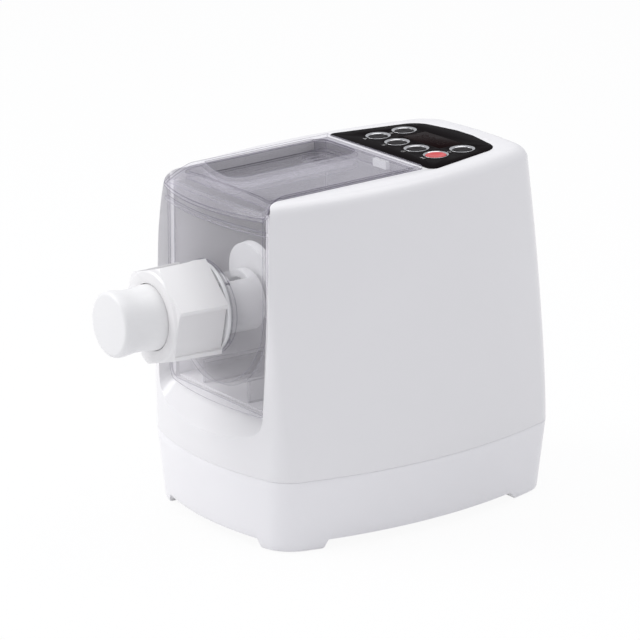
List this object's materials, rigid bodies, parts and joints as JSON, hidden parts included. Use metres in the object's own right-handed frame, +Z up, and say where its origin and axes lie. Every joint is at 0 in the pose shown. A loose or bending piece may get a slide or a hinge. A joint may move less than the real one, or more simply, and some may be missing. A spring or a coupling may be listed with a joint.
{
  "type": "electric pasta maker",
  "caption": "Countertop pasta maker: leaning body, slide-out clear mixing container with paddle, auger, ring nut and spout, lift-off lid, sloped key panel, geared motor.",
  "frame": {"origin": "centre of the bounding box's base, on the plane that the feet stand on", "axes": "+Z up, the spout points along -Y, the cord gland is at the +Y end, +X is to the right for someone who looks along +Y"},
  "size_m": [0.2112, 0.3634, 0.276],
  "materials": {
    "white_shell": "satin gloss moulded plastic",
    "base_white": "satin gloss moulded plastic",
    "foot_rubber": "matt",
    "steel": "brushed",
    "liner_white": "matt",
    "overlay_black": "gloss",
    "display_dark": "gloss",
    "bright_ring": "polished",
    "key_black": "satin",
    "key_red": "satin",
    "board_green": "matt",
    "black_parts": "matt",
    "motor_steel": "satin",
    "bell_metal": "cast",
    "core_steel": "laminated",
    "winding_copper": "varnished wire",
    "gear_plastic": "matt",
    "bearing_bronze": "sintered",
    "saddle_grey": "matt",
    "capacitor_grey": "satin",
    "gland_grey": "matt",
    "clear_plastic": "clear",
    "clear_lid": "clear",
    "seal_grey": "matt",
    "paddle_white": "satin",
    "barrel_white": "satin",
    "nut_white": "satin",
    "spout_white": "satin",
    "die_metal": "machined",
    "magnet_white": "satin"
  },
  "bodies": {
    "body": {"upper_housing": "white_shell", "base_tray": "base_white", "foot_pads": "foot_rubber", "base_screws": "steel", "bay_liner": "liner_white", "liner_screws": "steel", "control_overlay": "overlay_black", "display_window": "display_dark", "button_rings": "bright_ring", "control_board": "board_green", "key_switches": "black_parts", "board_screws": "steel", "reed_switch": "black_parts", "motor_saddles": "saddle_grey", "motor_straps": "steel", "motor_can": "motor_steel", "motor_bells": "bell_metal", "stator_core": "core_steel", "stator_windings": "winding_copper", "gearbox_front_plate": "steel", "gearbox_back_plate": "steel", "gearbox_spacers": "steel", "gearbox_bolts": "steel", "shaft_bushes": "bearing_bronze", "idler_pins": "steel", "power_board": "board_green", "power_parts": "black_parts", "run_capacitor": "capacitor_grey", "cord_gland": "gland_grey"},
    "motor": {"motor_shaft": "steel", "rotor_core": "core_steel", "motor_pinion": "steel", "cooling_fan": "gear_plastic"},
    "first_stage": {"first_gear": "gear_plastic"},
    "second_stage": {"second_gear": "gear_plastic"},
    "output": {"output_gear": "gear_plastic", "output_shaft": "steel", "gear_key": "steel"},
    "container": {"container": "clear_plastic", "shaft_seal": "seal_grey", "barrel": "barrel_white", "barrel_gasket": "seal_grey", "barrel_screws": "steel"},
    "paddle": {"paddle_shaft": "steel", "mixing_paddle": "paddle_white", "auger": "paddle_white"},
    "lid": {"lid": "clear_lid", "lid_magnet": "magnet_white"},
    "spout": {"spout": "spout_white", "die_disc": "die_metal", "die_seal": "seal_grey"},
    "nut": {"ring_nut": "nut_white"},
    "knead_key": {"knead_button": "key_black"},
    "extrude_key": {"extrude_button": "key_black"},
    "timer_key": {"timer_button": "key_black"},
    "start_key": {"start_button": "key_red"},
    "mode_key": {"mode_button": "key_black"},
    "power_key": {"power_button": "key_black"}
  },
  "joints": [
    {"name": "container_slide", "type": "slide", "parent": "body", "child": "container", "axis": [0, -1, 0], "range_m": [0, 0.16]},
    {"name": "lid_lift", "type": "slide", "parent": "container", "child": "lid", "axis": [0, 0, 1], "range_m": [0, 0.09]},
    {"name": "nozzle_pull", "type": "slide", "parent": "container", "child": "spout", "axis": [0, -1, 0], "range_m": [0, 0.06]},
    {"name": "nut_turn", "type": "hinge", "parent": "spout", "child": "nut", "pos_m": [0, -0.12325, 0.1757], "axis": [0, 1, 0], "continuous": true},
    {"name": "motor_spin", "type": "hinge", "parent": "body", "child": "motor", "pos_m": [0, 0.00375, 0.0535], "axis": [0, 1, 0], "continuous": true},
    {"name": "first_gear_spin", "type": "hinge", "parent": "body", "child": "first_stage", "pos_m": [-0.006, 0.10375, 0.09052], "axis": [0, 1, 0], "continuous": true},
    {"name": "second_gear_spin", "type": "hinge", "parent": "body", "child": "second_stage", "pos_m": [0.022, 0.09375, 0.12638], "axis": [0, 1, 0], "continuous": true},
    {"name": "output_spin", "type": "hinge", "parent": "body", "child": "output", "pos_m": [0, 0.07975, 0.1757], "axis": [0, 1, 0], "continuous": true},
    {"name": "paddle_spin", "type": "hinge", "parent": "container", "child": "paddle", "pos_m": [0, -0.02625, 0.1757], "axis": [0, 1, 0], "continuous": true},
    {"name": "knead_press", "type": "slide", "parent": "body", "child": "knead_key", "axis": [0, 0.0384, -0.9993], "range_m": [0, 0.001], "stiffness_N_per_m": 400, "springref_m": -0.001},
    {"name": "extrude_press", "type": "slide", "parent": "body", "child": "extrude_key", "axis": [0, 0.0384, -0.9993], "range_m": [0, 0.001], "stiffness_N_per_m": 400, "springref_m": -0.001},
    {"name": "timer_press", "type": "slide", "parent": "body", "child": "timer_key", "axis": [0, 0.0384, -0.9993], "range_m": [0, 0.001], "stiffness_N_per_m": 400, "springref_m": -0.001},
    {"name": "start_press", "type": "slide", "parent": "body", "child": "start_key", "axis": [0, 0.0384, -0.9993], "range_m": [0, 0.001], "stiffness_N_per_m": 400, "springref_m": -0.001},
    {"name": "mode_press", "type": "slide", "parent": "body", "child": "mode_key", "axis": [0, 0.0384, -0.9993], "range_m": [0, 0.001], "stiffness_N_per_m": 400, "springref_m": -0.001},
    {"name": "power_press", "type": "slide", "parent": "body", "child": "power_key", "axis": [0, 0.0384, -0.9993], "range_m": [0, 0.001], "stiffness_N_per_m": 400, "springref_m": -0.001}
  ],
  "couplings": [
    {"joint": "first_gear_spin", "follows": "motor_spin", "ratio": -0.25},
    {"joint": "second_gear_spin", "follows": "motor_spin", "ratio": 0.075},
    {"joint": "output_spin", "follows": "motor_spin", "ratio": -0.025},
    {"joint": "paddle_spin", "follows": "motor_spin", "ratio": -0.025}
  ]
}
